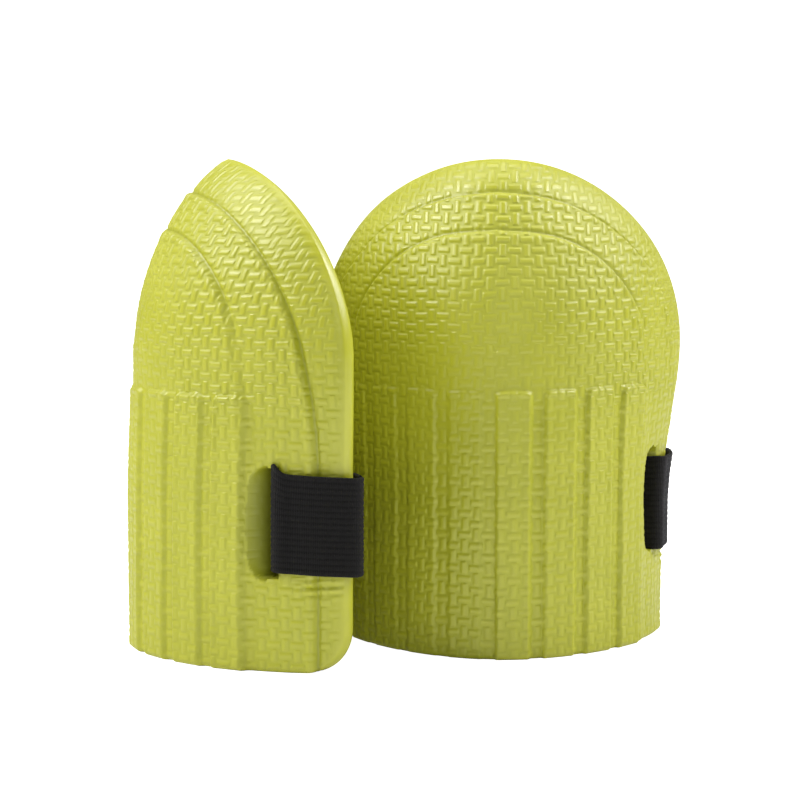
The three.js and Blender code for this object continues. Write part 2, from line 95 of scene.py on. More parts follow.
# ---- the moulding's fine shape ---------------------------------------------------------------------
STEP_RAMP_BEFORE, STEP_1_RAMP, STEP_2_RAMP = 0.7, 2.1, 2.2
STEP_2_FADE_LOW_Z, STEP_2_FADE_HIGH_Z = 112.0, 134.0
STEP_2_SOFT_SPREAD, STEP_2_SOFT_HEIGHT, STEP_2_SOFT_GROOVE = 2.4, 0.65, 0.12
GROOVE_AT_APEX, GROOVE_BEFORE, GROOVE_SPREAD, GROOVE_1_DEPTH, GROOVE_2_DEPTH = 0.7, 0.9, 0.75, 0.55, 0.50
SWELL_SPREAD, SWELL_1_AFTER, SWELL_1_HEIGHT, SWELL_2_AFTER, SWELL_2_HEIGHT = 1.5, 2.2, 0.30, 2.4, 0.25
SLOT_LIP_DEPTH, SLOT_LIP_SPREAD = 0.7, 0.8
PUCKER_HEIGHT, PUCKER_PITCH, PUCKER_BELOW, PUCKER_SPREAD = 0.42, 2.9, 4.6, 4.0
RIB_CORNER, RIB_PLATEAU, RIB_RIDGE, RIB_RIDGE_SPREAD = 2.2, 0.93, 0.18, 0.75
CELL_U, CELL_V = 4.4, 3.9
BAR_HALF, BAR_FLANK, BAR_REACH = 0.34, 0.23, 0.56
BAR_END_OUT, BAR_END_RUN = 0.05, 0.13
WEAVE_RELIEF, WEAVE_BUMP = 0.27, 0.00019
SPOT_Z, SPOT_RADIUS, SPOT_FADE = 106, 14, 34.0
UNEVENNESS, WEAVE_DRIFT_U, WEAVE_DRIFT_V = 0.35, 0.5, 0.45

# ---- the shell's mesh: columns of the slot, outer columns to each inner one, rows -----------------
SLOT_COLUMNS, FINE = (40, 48), 4
ROW_STEP, DOME_ROWS = 0.65, 150

# ---- colours, light and camera -------------------------------------------------------------------
FOAM_LIGHT, FOAM_DARK = (0.585, 0.588, 0.034), (0.545, 0.553, 0.028)
# Painted shade, below: the first colour darkens the hollows between the weave's bars and the steps' creases,
# the second the scoop in front of the strap slot.
FOAM_HOLLOW_SHADE, FOAM_SHADE = (0.36, 0.39, 0.008), (0.11, 0.12, 0.002)
# Painted shade: the first colour below darkens the grooves between the webbing's ribs.
WEB_GROOVE_SHADE, WEB_RIDGE = (0.0022, 0.0019, 0.0019), (0.0060, 0.0054, 0.0056)
WEB_LINT, WEB_SHEEN = (0.010, 0.0085, 0.0105), (0.6, 0.55, 0.7)
YARN_ALONG, YARN_ACROSS = 0.62, 0.5
THREAD_DARK, THREAD_LIGHT = (0.014, 0.013, 0.016), (0.05, 0.046, 0.055)
SWEEP_COLOUR, FLOOR_GLOW = (0.9, 0.9, 0.9), 1.0
WORLD_SEEN, WORLD_LIGHT = 1.0, 0.01
FRONT_TINT, KEY_TINT = (0.94, 1.0, 0.85), (1.0, 0.98, 0.98)
CAMERA_PLACE, CAMERA_DIP, CAMERA_LENS = (-0.00354, -0.8661, 0.1664), 5.02, 105.4


def mix(a, b, t):
    return a + (b - a) * t


def smooth(t):
    t = np.clip(t, 0, 1)
    return t * t * (3 - 2 * t)


# ---- the shell's base surface --------------------------------------------------------------------
def pipe_point(angle, z, inset_side=0.0, inset_front=0.0):
    """Points of the half pipe; angle runs from pi/2 at the rim to 0 on the centre line."""
    w = smooth((z - NARROWING_STARTS_Z) / (SHOULDER_Z - NARROWING_STARTS_Z))
    width = mix(HALF_WIDTH_FOOT, HALF_WIDTH_TOP, w) - inset_side
    depth = mix(DEPTH_FOOT, DEPTH_TOP, w) - inset_front
    width_power = mix(SECTION_WIDTH_POWER, 2 / SIDE_POWER_TOP, w)
    depth_power = mix(SECTION_DEPTH_POWER, 2 / FRONT_POWER_TOP, w)
    rounding = FRONT_ROUNDING * (1 - w) + 1e-6
    across = np.sin(angle) ** mix(1, SIDE_POWER_TOP, w)

    def bend(u):
        return (u * u + rounding * rounding) ** (width_power / 2)

    used = (bend(across) - bend(0.0)) / (bend(1.0) - bend(0.0))
    y = -depth * np.clip(1 - used, 0, 1) ** (1 / depth_power)
    return np.stack([width * across, y, np.full_like(across, z)], -1)


def rim_lean(turn):
    """How far the dome's rim leans forward, from 0 at the shoulder to 1 at the apex."""
    lift = np.sin(turn)
    fall = np.hypot(np.cos(turn), APEX_ROUNDING) - APEX_ROUNDING
    round_lean = 1 - fall / (math.hypot(1, APEX_ROUNDING) - APEX_ROUNDING)
    return mix(round_lean, lift**RIM_LEAN_POWER, RIM_LEAN_MIX)


def dome_point(angle, turn, inset_side=0.0, inset_front=0.0):
    out = np.sin(angle) ** SIDE_POWER_TOP
    front = np.clip(np.cos(angle), 0, 1) ** FRONT_POWER_TOP
    x = (HALF_WIDTH_TOP - inset_side) * out * np.cos(turn)
    z = SHOULDER_Z + (PAD_HEIGHT - SHOULDER_Z - inset_side) * out * np.sin(turn)
    y = -mix(APEX_DEPTH * rim_lean(turn), DEPTH_TOP - inset_front, front)
    return np.stack([np.where(np.abs(x) < 1e-7, 0, x), y, z], -1)


def row_at(row, angle, inset_side=0.0, inset_front=0.0):
    kind, value = row
    point = pipe_point if kind == "pipe" else dome_point
    return point(np.asarray(angle, float), value, inset_side, inset_front)


def arc_table(row):
    """Arc lengths from the rim along a row, and the angles there."""
    angles = np.linspace(math.pi / 2, 0, 500)
    points = row_at(row, angles)
    lengths = np.concatenate([[0], np.cumsum(np.linalg.norm(np.diff(points, axis=0), axis=1))])
    return lengths, angles


def rim_cut(row):
    """How much the foot's rounded corner takes off the rim."""
    kind, value = row
    if kind != "pipe" or value >= FOOT_CORNER_RADIUS:
        return 0.0
    return FOOT_CORNER_RADIUS - math.sqrt(FOOT_CORNER_RADIUS**2 - (FOOT_CORNER_RADIUS - value) ** 2)


def step_arcs(row):
    """Arc lengths from the rim to the two steps, on a row."""
    kind, value = row
    if kind == "pipe":
        q = min(max((value - STEP_TURNS_Z) / (SHOULDER_Z - STEP_TURNS_Z), 0), 1) ** 2
        return mix(STEP_1_FOOT, STEP_1_SHOULDER, q), mix(STEP_2_FOOT, STEP_2_SHOULDER, q)
    share, swell = value / (math.pi / 2), math.sin(2 * value)
    return (mix(STEP_1_SHOULDER, STEP_1_TOP, share) + STEP_1_SWELL * swell,
            mix(STEP_2_SHOULDER, STEP_2_TOP, share) + STEP_2_SWELL * swell)


def dome_rise(row):
    """0 on the half pipe and at the shoulder, 1 at the top of the dome."""
    kind, value = row
    return math.sin(value) ** 2 if kind == "dome" else 0.0


def step_2_crispness(height):
    """The second step is soft below the dome and crisp on it."""
    return smooth((height - STEP_2_FADE_LOW_Z) / (STEP_2_FADE_HIGH_Z - STEP_2_FADE_LOW_Z))


def bell(distance, spread):
    return np.exp(-((distance / spread) ** 2))


def corner_round(distance, radius):
    """How far a rounded corner of that radius falls below the face, at a distance from the corner."""
    d = np.clip(radius - distance, 0, radius)
    return radius - np.sqrt(np.maximum(radius * radius - d * d, 0))


def waves(x, z, seed):
    """Slow unevenness of a moulded sheet, from -1 to 1."""
    rng = np.random.default_rng(seed)
    total = np.zeros_like(x)
    for _ in range(7):
        kx, kz = rng.uniform(-0.14, 0.14, 2)
        total += np.sin(kx * x + kz * z + rng.uniform(0, 6.28))
    return total / 4.5


def bar(across, along):
    """A rounded bar of the weave, from its distances to its own axis and to its middle, in cells."""
    return smooth((BAR_HALF - across) / BAR_FLANK) * smooth((BAR_REACH + BAR_END_OUT - along) / BAR_END_RUN)


def weave_relief(u, v):
    """Embossed bars, level in one cell and upright in the next, which reach a little past their cells."""
    cell_u, cell_v = u / CELL_U, v / CELL_V
    odd = (np.floor(cell_u) + np.floor(cell_v)) % 2 > 0.5
    a = np.abs(cell_u - np.floor(cell_u) - 0.5)
    b = np.abs(cell_v - np.floor(cell_v) - 0.5)
    level = bar(b, np.where(odd, 1 - a, a))
    upright = bar(a, np.where(odd, b, 1 - b))
    return np.maximum(level, upright)


def rib_field(arc, row, whole, shift):
    """Height of the ribs and their edge ridges, from 0 to about 1; shift moves them off the centre line."""
    z = row[1]
    if z > RIB_TOP_Z + 1.5:
        return np.zeros_like(arc)
    field = whole - STEP_2_FOOT - 1.0
    to_centre = (whole - arc) * (RIB_PITCH * RIB_COUNT + 0.6) / field
    to_centre = np.abs(to_centre - shift)
    k = np.clip(np.floor(to_centre / RIB_PITCH), 0, RIB_COUNT - 1)
    across = np.abs(to_centre - (k + 0.5) * RIB_PITCH)
    edge_x = RIB_WIDTH / 2 - across
    edge_z = RIB_TOP_Z - z
    inside = np.minimum(edge_x, edge_z)
    both = (edge_x < RIB_CORNER) & (edge_z < RIB_CORNER)
    rounded = RIB_CORNER - np.hypot(RIB_CORNER - edge_x, RIB_CORNER - edge_z)
    inside = np.where(both, np.minimum(inside, rounded), inside)
    plateau = smooth((inside + 0.6) / 1.3)
    return plateau * RIB_PLATEAU + RIB_RIDGE * bell(inside - 1.0, RIB_RIDGE_SPREAD)


def slot_distance(arc, z):
    """Distance outside the strap slot's rectangle, and how far in front of the slot a point is."""
    dz = np.maximum(np.maximum(SLOT_LOW_Z - z, z - SLOT_HIGH_Z), 0)
    da = np.maximum(np.abs(arc - SLOT_ARC) - SLOT_HALF, 0)
    return np.hypot(da, dz), arc - SLOT_ARC - SLOT_HALF


def scoop_share(ahead, z):
    """How deep into the scoop in front of the slot a point is: 0 at its bowed outline, 1 at the slot."""
    middle = min(abs(z - STRAP_MIDDLE_Z) / SLOT_REACH_Z, 1)
    bow = SCOOP_WIDTH * (1 - 0.12 * middle**2 - 0.55 * middle**9)
    return np.clip(1 - ahead / bow, 0, 1) * (ahead > -0.01)


def strap_marks(arc, z):
    """What the strap leaves on the foam: the scoop in front of the slot, its sunk lip, puckers below it."""
    distance, ahead = slot_distance(arc, z)
    within_z = smooth((1.04 - abs((z - STRAP_MIDDLE_Z) / SLOT_REACH_Z)) / 0.07)
    marks = -SCOOP_DEPTH * scoop_share(ahead, z) ** 0.9 * within_z
    lip = np.exp(-((distance / SLOT_LIP_SPREAD) ** 1.3))
    marks -= SLOT_LIP_DEPTH * lip * np.where((arc < SLOT_ARC) | (within_z < 0.5), 1, 0.2)
    below = STRAP_LOW_Z - z
    crumple = smooth((arc - 2) / 5.0) * smooth((24 - arc) / 8.0)
    pucker = bell(below - PUCKER_BELOW, PUCKER_SPREAD) * (below > 0.3)
    return marks + PUCKER_HEIGHT * crumple * pucker * np.sin(2 * math.pi * (z + 0.05 * arc) / PUCKER_PITCH)


def outer_lift(arc, row, height):
    """How far the outer face stands off the base surface: steps, strap marks and rounded edges."""
    kind, value = row
    rise = dome_rise(row)
    step1, step2 = step_arcs(row)
    height1 = mix(STEP_1_HEIGHT, STEP_1_HEIGHT_TOP, rise)
    height2 = mix(STEP_2_HEIGHT, STEP_2_HEIGHT_TOP, rise)
    groove = mix(1.0, GROOVE_AT_APEX, rise)
    crisp = step_2_crispness(height)
    spread = mix(STEP_2_SOFT_SPREAD, 1.0, crisp)
    fade2 = mix(STEP_2_SOFT_GROOVE, 1.0, crisp)
    up2 = smooth((arc - step2 + STEP_RAMP_BEFORE * spread) / (STEP_2_RAMP * spread))
    lift = np.full_like(arc, -height1)
    lift += height1 * smooth((arc - step1 + STEP_RAMP_BEFORE) / STEP_1_RAMP)
    lift += height2 * mix(STEP_2_SOFT_HEIGHT, 1.0, crisp) * up2
    lift -= GROOVE_1_DEPTH * groove * bell(arc - step1 + GROOVE_BEFORE, GROOVE_SPREAD)
    lift -= GROOVE_2_DEPTH * groove * fade2 * bell(arc - step2 + GROOVE_BEFORE, GROOVE_SPREAD)
    lift += SWELL_1_HEIGHT * groove * bell(arc - step1 - SWELL_1_AFTER, SWELL_SPREAD)
    lift += SWELL_2_HEIGHT * groove * fade2 * bell(arc - step2 - SWELL_2_AFTER, SWELL_SPREAD)
    if kind == "pipe":
        lift += strap_marks(arc, value) - corner_round(value, FOOT_ROUND)
    from_rim = arc - rim_cut(row)
    facet = RIM_FACET - from_rim
    lift -= RIM_FACET_SLOPE * 0.5 * (facet + np.hypot(facet, 0.35))
    return lift - corner_round(from_rim, RIM_ROUND_OUTER)


def shell_rows():
    """Rows from foot to apex, with exact ones at the foot, the slot's ends and the ribs' tops."""
    exact = np.concatenate([[0, 0.25, 0.6, 1.1, 1.8, 2.5], [SLOT_LOW_Z, SLOT_HIGH_Z],
                            np.arange(RIB_TOP_Z - 3.2, RIB_TOP_Z + 1.6, 0.45), [SHOULDER_Z]])
    between = np.arange(3.15, SHOULDER_Z, ROW_STEP)
    between = between[np.abs(between[:, None] - exact[None]).min(axis=1) > 0.3]
    pipe = np.sort(np.concatenate([exact, between]))
    rows = [("pipe", float(z)) for z in pipe]
    return rows + [("dome", math.pi / 2 * i / DOME_ROWS) for i in range(1, DOME_ROWS + 1)]


def column_arcs(row, whole):
    """Arc lengths of the columns; the slot's sides and every fourth column are shared with the inside."""
    rise = dome_rise(row)
    start = rim_cut(row)
    step1, step2 = step_arcs(row)
    step1 = max(step1, start + 1.5)
    slot_low = mix(SLOT_ARC - SLOT_HALF, mix(step1, step2, 0.5), rise)
    slot_high = mix(SLOT_ARC + SLOT_HALF, mix(step1, step2, 0.72), rise)
    before_step = max(step1 - 2.0, start + 1.2)
    near_rim = [start + q * min(1.0, (before_step - start) / 4.0) for q in (0, 0.2, 0.7, 1.8, 3.1, 3.8)]
    parts = [
        np.array(near_rim),
        np.linspace(near_rim[-1], before_step, 7)[1:],
        np.linspace(before_step, step1 + 3.5, 13)[1:],
        np.linspace(step1 + 3.5, slot_low, 18)[1:],
        np.linspace(slot_low, slot_high, 9)[1:],
        np.linspace(slot_high, step2 - 2.0, 9)[1:],
        np.linspace(step2 - 2.0, step2 + 3.5, 13)[1:],
        np.linspace(step2 + 3.5, whole, 141)[1:],
    ]
    return np.concatenate(parts)


def dome_sheet_table():
    """Arc length from the centre line along level sections of the dome, by height and share of width."""
    heights = np.linspace(0, 0.999, 90)
    shares = np.linspace(0, 1, 160)
    table = []
    for h in heights:
        wide = shares * math.sqrt(1 - h * h)
        out = np.hypot(wide, h)
        turn = np.arctan2(h, np.maximum(wide, 1e-9))
        angle = np.arcsin(np.clip(out ** (1 / SIDE_POWER_TOP), 0, 1))
        points = dome_point(angle, turn)
        steps = np.hypot(np.diff(points[:, 0]), np.diff(points[:, 1]))
        table.append(np.concatenate([[0], np.cumsum(steps)]))
    return heights, shares, np.array(table)


def dome_sheet_u(angle, turn, table):
    """Looks up that arc length for points of the dome."""
    heights, shares, lengths = table
    out = np.sin(angle) ** SIDE_POWER_TOP
    h = np.clip(out * math.sin(turn), 0, 0.999)
    wide = out * math.cos(turn)
    share = np.clip(wide / np.sqrt(1 - h * h), 0, 1)
    i = np.clip(h / heights[-1] * (len(heights) - 1), 0, len(heights) - 1.001)
    j = np.clip(share * (len(shares) - 1), 0, len(shares) - 1.001)
    i0, j0 = i.astype(int), j.astype(int)
    fi, fj = i - i0, j - j0
    low = mix(lengths[i0, j0], lengths[i0, j0 + 1], fj)
    high = mix(lengths[i0 + 1, j0], lengths[i0 + 1, j0 + 1], fj)
    return mix(low, high, fi)


class Builder:
    """Collects faces of loose points, with values per point, and welds them into one mesh."""

    def __init__(self):
        self.points, self.values, self.faces, self.count = [], [], [], 0

    def add(self, points, values):
        points = np.asarray(points, float).reshape(-1, 3)
        self.points.append(points)
        self.values.append(np.broadcast_to(np.asarray(values, float), (len(points), 4)))
        first = self.count
        self.count += len(points)
        return first

    def quads(self, quads):
        self.faces.extend(quads)

    def tube(self, first, rings, sides):
        """Faces of a tube with closed ends, from rings of points added one after another."""
        for r in range(rings - 1):
            for k in range(sides):
                p, q = first + r * sides + k, first + r * sides + (k + 1) % sides
                self.faces.append((p, q, q + sides, p + sides))
        last = first + (rings - 1) * sides
        self.faces.append(tuple(first + k for k in range(sides)))
        self.faces.append(tuple(last + k for k in reversed(range(sides))))

    def mesh(self, name, keys, digits=4):
        points, values = np.concatenate(self.points), np.concatenate(self.values)
        _, first, inverse = np.unique(np.round(points, digits) + 0.0, axis=0,
                                      return_index=True, return_inverse=True)
        inverse = inverse.ravel()
        faces, seen = [], set()
        for f in self.faces:
            g = []
            for v in f:
                w = int(inverse[v])
                if w not in g:
                    g.append(w)
            if len(g) >= 3:
                key = frozenset(g)
                if key not in seen:
                    seen.add(key)
                    faces.append(g)
        mesh = bpy.data.meshes.new(name)
        mesh.from_pydata((points[first] * MM).tolist(), [], faces)
        for k, key in enumerate(keys):
            a = mesh.attributes.new(key, "FLOAT", "POINT")
            a.data.foreach_set("value", values[first, k].astype(np.float32))
        mesh.validate()
        return mesh


def grid_quads(first, rows, cols, skip=None, flip=False):
    """Quads of a grid of points, without the cells that skip names."""
    out = []
    for r in range(rows - 1):
        for c in range(cols - 1):
            if skip and skip(r, c):
                continue
            a = first + r * cols + c
            q = (a, a + cols, a + cols + 1, a + 1)
            out.append(q[::-1] if flip else q)
    return out


def border_quads(a, b, rows, cols):
    """Quads that join the four borders of two grids of the same size."""
    out = []
    for r in (0, rows - 1):
        p, q = a + r * cols, b + r * cols
        out += [(p + c, p + c + 1, q + c + 1, q + c) for c in range(cols - 1)]
    for c in (0, cols - 1):
        p, q = a + c, b + c
        out += [(p + r * cols, p + (r + 1) * cols, q + (r + 1) * cols, q + r * cols) for r in range(rows - 1)]
    return out


def embossing(row, arcs, u, height):
    """How strongly the weave stands out along a row, and where shade is painted: in the steps' creases and,
    darkest, in the scoop.
    """
    kind, value = row
    step1, step2 = step_arcs(row)
    strength = smooth((arcs - rim_cut(row) - RIM_FACET - 0.4) / 2.5)
    from_spot = np.hypot(u, height - SPOT_Z) - SPOT_RADIUS
    strength = strength * mix(SMOOTH_SPOT, 1.0, smooth(from_spot / SPOT_FADE))
    # painted shade along the creases of the two steps, which also fades the weave there
    crease = bell(arcs - step1 + 0.8, 0.8) + step_2_crispness(height) * bell(arcs - step2 + 0.8, 0.8)
    strength = strength * (1 - 0.8 * np.clip(crease, 0, 1))
    if kind == "pipe":
        strength = strength * mix(1.0, 0.75, smooth((RIB_TOP_Z - value) / 12.0)) * smooth(value / 2.0)
        ahead = slot_distance(arcs, value)[1]
        share = scoop_share(ahead, value) * (abs(value - STRAP_MIDDLE_Z) < SLOT_REACH_Z)
        strength = np.where(share > 0, strength * 0.3, strength)
        # painted shade in the scoop in front of the slot, darkest at the slot
        crease = np.maximum(crease, np.where(share > 0, 0.75 + 1.5 * share, 0))
    return strength, crease


def shell_half(rows, pad):
    """Grids of the half with x > 0: outer and inner points, outward directions, ribs, looks' values."""
    sheet, shift = dome_sheet_table(), RIB_SHIFTS[pad]
    grids = [[] for _ in range(6)]
    for row in rows:
        kind, value = row
        lengths, angles = arc_table(row)
        whole = lengths[-1]
        arcs = column_arcs(row, whole)
        angle = np.interp(arcs, lengths, angles)
        base, under = row_at(row, angle), row_at(row, angle, WALL_SIDE, WALL_FRONT)
        height = base[:, 2]
        outward = base - under
        push = corner_round(arcs - rim_cut(row), RIM_ROUND_INNER)
        if kind == "pipe":
            outward[:, 2] = 0
            push = push + corner_round(value, FOOT_ROUND)
            u = whole - arcs
            ribs = [rib_field(arcs, row, whole, off) for off in (shift, -shift)]
        else:
            u = dome_sheet_u(angle, value, sheet)
            ribs = np.zeros((2, len(arcs)))
        outward /= np.linalg.norm(outward, axis=1)[:, None]
        outer = base + outward * outer_lift(arcs, row, height)[:, None]
        inner = under + outward * push[:, None]
        # the second value says how much shade is painted here, in the creases and the scoop
        strength, crease = embossing(row, arcs, u, height)
        outer_values = np.stack([u, height, strength, crease], -1)
        inner_values = np.stack([u, height, u * 0, u * 0], -1)
        found = (outer, inner[::FINE], outward, ribs, outer_values, inner_values[::FINE])
        for grid, values in zip(grids, found):
            grid.append(values)
    return [np.array(grid) for grid in grids]


def foam_shell(name, pad, seed):
    """One closed moulding: both faces, the rim and the foot between them, and the strap slots' walls."""
    rows = shell_rows()
    outer, inner, normals, rib_rows, outer_values, inner_values = shell_half(rows, pad)
    z = np.array([value if kind == "pipe" else math.inf for kind, value in rows])
    r0, r1 = (int(np.argmin(np.abs(z - end))) for end in (SLOT_LOW_Z, SLOT_HIGH_Z))
    c0, c1 = SLOT_COLUMNS
    n_rows, n_cols = outer.shape[:2]
    n_in = inner.shape[1]
    b = Builder()
    for side in (1, -1):
        place = np.array([side, 1, 1])
        sheet_sign = np.array([side, 1, 1, 1])

        def uneven(points):
            flat = (points * place).reshape(-1, 3)
            shift = waves(flat[:, 0], flat[:, 2], seed) * UNEVENNESS
            toward = flat * np.array([1, 1, 0]) + np.array([0, 20, 0])
            toward /= np.maximum(np.linalg.norm(toward, axis=1), 1)[:, None]
            fade = smooth(flat[:, 2] / 12.0) * smooth(np.abs(flat[:, 1]) / 14.0)
            return flat + toward * (shift * fade)[:, None]

        values = outer_values * sheet_sign
        u, v = values[:, :, 0], values[:, :, 1]
        values[:, :, 0] = u + waves(u * 1.7, v * 1.7, seed + 20) * WEAVE_DRIFT_U
        values[:, :, 1] = v + waves(u * 1.7, v * 1.7, seed + 21) * WEAVE_DRIFT_V
        relief = weave_relief(values[:, :, 0], values[:, :, 1]) * values[:, :, 2]
        ribs = RIB_HEIGHTS[side] * rib_rows[:, 0 if side > 0 else 1]
        embossed = outer + normals * (WEAVE_RELIEF * relief + ribs)[:, :, None]
        o = b.add(uneven(embossed), values.reshape(-1, 4))
        i = b.add(uneven(inner), (inner_values * sheet_sign).reshape(-1, 4))
        flip = side < 0
        b.quads(grid_quads(o, n_rows, n_cols, lambda r, c: r0 <= r < r1 and c0 <= c < c1, not flip))
        b.quads(grid_quads(i, n_rows, n_in, lambda r, c: r0 <= r < r1 and c0 <= c * FINE < c1, flip))

        def out_at(r, c):
            return o + r * n_cols + c

        def in_at(r, c):
            return i + r * n_in + c // FINE

        def wall(quads, turned):
            b.quads([q[::-1] if turned else q for q in quads])

        def fan(row, first, last, turned):
            """Joins the outer row's fine columns to the inner row's coarse ones."""
            for c in range(first, last, FINE):
                faces = [(in_at(row, c), out_at(row, c + k + 1), out_at(row, c + k)) for k in range(FINE)]
                faces.append((in_at(row, c), in_at(row, c + FINE), out_at(row, c + FINE)))
                wall(faces, turned)

        rim = [(out_at(r, 0), in_at(r, 0), in_at(r + 1, 0), out_at(r + 1, 0)) for r in range(n_rows - 1)]
        wall(rim, not flip)
        fan(0, 0, n_cols - 1, not flip)
        fan(r0, c0, c1, flip)
        fan(r1, c0, c1, not flip)
        for c, turned in ((c1, not flip), (c0, flip)):
            upright = [(out_at(r, c), in_at(r, c), in_at(r + 1, c), out_at(r + 1, c)) for r in range(r0, r1)]
            wall(upright, turned)
    return b.mesh(name, ["sheet_u", "sheet_v", "emboss", "crease"])


# ---- placing -------------------------------------------------------------------------------------
def own_frame(side):
    """Position and turn of a pad, from its foot mount and its tail's hinge in the record."""
    record = frame["record"]
    mount = next(m for m in record["mounts"] if m["name"] == side + "_foot_face")
    hinge = next(j for j in frame["joints"] if j["name"] == side + "_tail_peel")
    foot, pivot = Vector(mount["pos_m"][:2]), Vector(hinge["pos_m"][:2])
    own = Vector((TAIL_PIVOT[0], TAIL_PIVOT[1] + FOOT_MOUNT_DEPTH))
    seen = pivot - foot
    turn = math.atan2(own.y, own.x) - math.atan2(seen.y, seen.x)
    c, s = math.cos(turn), math.sin(turn)
    own_foot = Vector((0, -FOOT_MOUNT_DEPTH * MM))
    x = foot.x - (c * own_foot.x + s * own_foot.y)
    y = foot.y - (-s * own_foot.x + c * own_foot.y)
    return x, y, turn


def settle(mesh, side):
    """Moves a mesh from the pad's own frame to the pad's place in the pair."""
    x, y, turn = own_frame(side)
    c, s = math.cos(turn), math.sin(turn)
    co = np.zeros(len(mesh.vertices) * 3)
    mesh.vertices.foreach_get("co", co)
    co = co.reshape(-1, 3)
    moved = np.stack([x + c * co[:, 0] + s * co[:, 1], y - s * co[:, 0] + c * co[:, 1], co[:, 2]], -1)
    mesh.vertices.foreach_set("co", moved.ravel())
    mesh.update()


def outward_normals(mesh):
    bm = bmesh.new()
    bm.from_mesh(mesh)
    bmesh.ops.recalc_face_normals(bm, faces=bm.faces)
    bm.to_mesh(mesh)
    bm.free()


def make(mesh, side, body, replaced, material, sharp=50):
    """Places a mesh and makes it a piece that rides a body and stands in for its CAD nodes."""
    outward_normals(mesh)
    settle(mesh, side)
    mesh.polygons.foreach_set("use_smooth", [True] * len(mesh.polygons))
    mesh.set_sharp_from_angle(angle=math.radians(sharp))
    mesh.materials.append(material)
    o = bpy.data.objects.new(mesh.name, mesh)
    bpy.context.scene.collection.objects.link(o)
    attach(o, side + body)
    for node in replaced:
        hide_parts(side + "_" + node)
    return o


# ---- straps --------------------------------------------------------------------------------------
def wall_frame(arc, z):
    """The wall at an arc length from the rim: its two faces, outward, and forward along the wall."""
    row = ("pipe", z)
    lengths, angles = arc_table(row)
    angle = np.interp(arc, lengths, angles)
    outer = row_at(row, angle)
    inner = row_at(row, angle, WALL_SIDE, WALL_FRONT)
    outward = (outer - inner) / np.linalg.norm(outer - inner)
    return outer, inner, outward, np.array([outward[1], -outward[0], 0])


def beside(face, arc, along, out, z):
    """A point near the wall, moved forward along it and outward from one of its faces."""
    outer, inner, outward, forward = wall_frame(arc, z)
    start = outer if face == "outer" else inner
    return [start[k] + forward[k] * along + outward[k] * out for k in (0, 1)]


def span_point(x, away):
    """A point of the strap's span across the back, moved away from its middle surface."""
    slope = (STRAP_MIDDLE_DEPTH - STRAP_SIDE_DEPTH) / STRAP_STRAIGHT_X
    return [x, -(STRAP_MIDDLE_DEPTH - slope * abs(x)) + away * math.sqrt(1 + slope * slope)]


def side_route(z):
    off = STRAP_THICKNESS / 2 + LAYER_GAP
    rim_x = beside("outer", 0, 0, -STEP_1_HEIGHT, z)[0]
    inside = [beside("inner", a, 0, -d, z)
              for a, d in ((12, off + 1), (17, off + 0.6), (22, off + 0.6), (26, off + 0.8))]
    slot = [beside("outer", SLOT_ARC, a, d, z)
            for a, d in ((-0.5, -WALL_SIDE - 0.6), (0, -7), (0, -3), (-0.6, 0.4), (-3.2, off + 0.7))]
    outside = [beside("outer", a, 0, d, z)
               for a, d in ((21, off + 0.7), (16, off + 0.7), (11, off + 0.5), (5, off - 0.3))]
    return [[STRAP_STRAIGHT_X + 4.5, -STRAP_SIDE_DEPTH + 0.1], *inside, *slot, *outside,
            [rim_x + off + 0.2, 0.6], [rim_x - 0.3, 2.4], [rim_x - 3, 3]]


def flipped(route):
    return [[-x, y] for x, y in route]


def strap_route(z):
    """From one rim through its slot, across the back, out through the other slot, and back over itself."""
    side = side_route(z)
    span_right = [span_point(x, 0) for x in (STRAP_STRAIGHT_X, 38, 26, 13)]
    lap_start = -STRAP_STRAIGHT_X + 1
    lap = [[-53.8, 2.2], [-49.8, -1.4], [-46.2, -5.3]]
    lap += [span_point(lap_start + d, LAP_AWAY) for d in (0, 5, LAP_LENGTH / 2, LAP_LENGTH)]
    span = [*span_right, span_point(0, 0), *flipped(span_right)[::-1]]
    return [*side[::-1], *span, *flipped(side), *lap]


def tail_route(z):
    end = [span_point(x, TAIL_AWAY) for x in (44.5, 40, 32, TAIL_END_X)]
    return [list(TAIL_PIVOT), [52.6, 1.6], [48, -1.6], *end]


def strap_hang(side):
    """How the strap hangs askew: it tilts between slot and rim, and its upper edge curls at the slot."""
    along = [0, 5, 34, 43, 62]
    drop = [-1.0, -1.0, 0.6, 0.5, 0] if side == "left" else [-1.6, -1.6, -2.1, -1.8, 0]
    curl = 3.2 if side == "left" else 0.5

    def hang(z_grid, s):
        upper = smooth((z_grid - STRAP_MIDDLE_Z) / (STRAP_WIDTH / 2))
        return z_grid + np.interp(s, along, drop) + curl * upper * bell(s - 34.5, 3.0)

    def tail_hang(z_grid, s):
        return z_grid + drop[0] * (1 - smooth(s / 24.0))

    return hang, tail_hang


